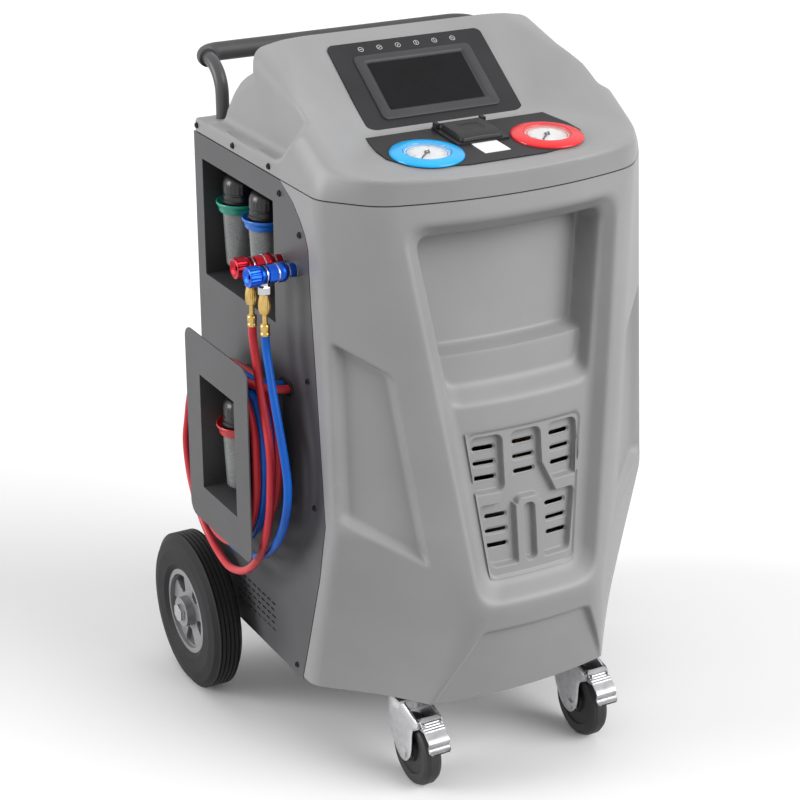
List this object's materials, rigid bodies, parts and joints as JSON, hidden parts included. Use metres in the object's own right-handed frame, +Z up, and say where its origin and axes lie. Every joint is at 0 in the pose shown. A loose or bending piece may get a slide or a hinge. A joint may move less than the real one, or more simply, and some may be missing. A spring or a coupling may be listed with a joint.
{
  "type": "refrigerant recovery machine",
  "caption": "Wheeled service cabinet with a moulded front, a sloped screen console with pressure gauges, oil bottles, quick couplers and wound service hoses.",
  "frame": {"origin": "on the floor under the middle of the machine's box", "axes": "+Z up, -Y towards the front with the screen, -X towards the side with the hoses"},
  "size_m": [0.674, 0.66, 1.0482],
  "materials": {
    "grey_moulding": "fine textured satin",
    "dark_powder_coat": "satin powder coat",
    "black_plastic": "satin",
    "display_glass": "gloss",
    "clear_lens": "clear",
    "white_dial": "matt",
    "cyan_ring": "gloss",
    "red_ring": "gloss",
    "white_paper": "matt",
    "handle_coat": "satin",
    "black_screw": "black oxide",
    "red_switch": "gloss",
    "bottle_plastic": "satin",
    "teal_plastic": "satin",
    "blue_plastic": "satin",
    "red_plastic": "satin",
    "blue_anodised": "anodised",
    "red_anodised": "anodised",
    "brass": "machined",
    "steel": "plain",
    "blue_hose": "smooth",
    "red_hose": "smooth",
    "black_rubber": "matt",
    "tyre_rubber": "matt",
    "rim_paint": "satin",
    "zinc": "zinc plated",
    "tank_paint": "gloss",
    "board": "satin"
  },
  "bodies": {
    "cabinet": {"chassis": "dark_powder_coat", "left_side_panel": "dark_powder_coat", "right_side_panel": "dark_powder_coat", "rear_panel": "dark_powder_coat", "front_shell": "grey_moulding", "head_shell": "grey_moulding", "bottle_niche": "dark_powder_coat", "hose_hanger": "dark_powder_coat", "display_overlay": "black_plastic", "display_frame": "black_plastic", "touch_screen": "display_glass", "gauge_overlay": "black_plastic", "gauge_cases": "white_dial", "gauge_lenses": "clear_lens", "low_gauge_bezel": "cyan_ring", "high_gauge_bezel": "red_ring", "printer_body": "black_plastic", "printer_paper": "white_paper", "push_handle": "handle_coat", "handle_grip": "handle_coat", "cover_screws": "black_screw", "power_inlet": "black_plastic", "low_coupler_body": "blue_anodised", "high_coupler_body": "red_anodised", "hose_end_fittings": "brass", "coupler_posts": "steel", "low_hose": "blue_hose", "high_hose": "red_hose", "hose_coil": "red_hose", "hose_grommet": "black_rubber", "rear_axle": "steel", "caster_plates": "zinc", "refrigerant_tank": "tank_paint", "tank_scale": "steel", "compressor": "tank_paint", "vacuum_pump": "tank_paint", "valve_block": "brass", "control_board": "board"},
    "left_wheel": {"left_tyre": "tyre_rubber", "left_rim": "rim_paint"},
    "right_wheel": {"right_tyre": "tyre_rubber", "right_rim": "rim_paint"},
    "left_caster": {"left_caster_fork": "zinc"},
    "right_caster": {"right_caster_fork": "zinc"},
    "left_roller": {"left_caster_wheel": "black_rubber"},
    "right_roller": {"right_caster_wheel": "black_rubber"},
    "left_brake": {"left_brake_pedal": "zinc"},
    "right_brake": {"right_brake_pedal": "zinc"},
    "paper_lid": {"printer_lid": "black_plastic"},
    "low_needle": {"low_gauge_pointer": "black_screw"},
    "high_needle": {"high_gauge_pointer": "black_screw"},
    "low_knob": {"low_coupler_knob": "blue_anodised"},
    "high_knob": {"high_coupler_knob": "red_anodised"},
    "mains_switch": {"power_rocker": "red_switch"},
    "new_oil": {"new_oil_bottle": "bottle_plastic", "new_oil_collar": "teal_plastic"},
    "dye": {"dye_bottle": "bottle_plastic", "dye_collar": "blue_plastic"},
    "used_oil": {"used_oil_bottle": "bottle_plastic", "used_oil_collar": "red_plastic"}
  },
  "joints": [
    {"name": "left_wheel_spin", "type": "hinge", "parent": "cabinet", "child": "left_wheel", "pos_m": [-0.3015, 0.205, 0.125], "axis": [1, 0, 0], "continuous": true},
    {"name": "left_caster_swivel", "type": "hinge", "parent": "cabinet", "child": "left_caster", "pos_m": [-0.144, -0.195, 0.12], "axis": [0, 0, 1], "continuous": true},
    {"name": "left_caster_roll", "type": "hinge", "parent": "left_caster", "child": "left_roller", "pos_m": [-0.144, -0.226, 0.054], "axis": [1, 0, 0], "continuous": true},
    {"name": "left_brake_press", "type": "hinge", "parent": "left_caster", "child": "left_brake", "pos_m": [-0.144, -0.257, 0.116], "axis": [1, 0, 0], "range_deg": [0, 10]},
    {"name": "right_wheel_spin", "type": "hinge", "parent": "cabinet", "child": "right_wheel", "pos_m": [0.3015, 0.205, 0.125], "axis": [1, 0, 0], "continuous": true},
    {"name": "right_caster_swivel", "type": "hinge", "parent": "cabinet", "child": "right_caster", "pos_m": [0.144, -0.195, 0.12], "axis": [0, 0, 1], "continuous": true},
    {"name": "right_caster_roll", "type": "hinge", "parent": "right_caster", "child": "right_roller", "pos_m": [0.144, -0.226, 0.054], "axis": [1, 0, 0], "continuous": true},
    {"name": "right_brake_press", "type": "hinge", "parent": "right_caster", "child": "right_brake", "pos_m": [0.144, -0.257, 0.116], "axis": [1, 0, 0], "range_deg": [0, 10]},
    {"name": "paper_lid_open", "type": "hinge", "parent": "cabinet", "child": "paper_lid", "pos_m": [0, -0.08253, 0.94595], "axis": [-1, 0, 0], "range_deg": [0, 75]},
    {"name": "low_needle_turn", "type": "hinge", "parent": "cabinet", "child": "low_needle", "pos_m": [-0.0955, -0.16029, 0.93392], "axis": [0, 0.0847, -0.9964], "range_deg": [0, 270], "stiffness_Nm_per_rad": 0.0002},
    {"name": "high_needle_turn", "type": "hinge", "parent": "cabinet", "child": "high_needle", "pos_m": [0.0955, -0.16029, 0.93392], "axis": [0, 0.0847, -0.9964], "range_deg": [0, 270], "stiffness_Nm_per_rad": 0.0002},
    {"name": "low_knob_turn", "type": "hinge", "parent": "cabinet", "child": "low_knob", "pos_m": [-0.325, -0.088, 0.774], "axis": [-1, 0, 0], "range_deg": [0, 360]},
    {"name": "high_knob_turn", "type": "hinge", "parent": "cabinet", "child": "high_knob", "pos_m": [-0.325, -0.046, 0.774], "axis": [-1, 0, 0], "range_deg": [0, 360]},
    {"name": "mains_switch_tilt", "type": "hinge", "parent": "cabinet", "child": "mains_switch", "pos_m": [-0.104, 0.246, 0.224], "axis": [1, 0, 0], "range_deg": [0, 20]},
    {"name": "new_oil_out", "type": "slide", "parent": "cabinet", "child": "new_oil", "axis": [-1, 0, 0], "range_m": [0, 0.15]},
    {"name": "dye_out", "type": "slide", "parent": "cabinet", "child": "dye", "axis": [-1, 0, 0], "range_m": [0, 0.15]},
    {"name": "used_oil_out", "type": "slide", "parent": "cabinet", "child": "used_oil", "axis": [-1, 0, 0], "range_m": [0, 0.1]}
  ]
}
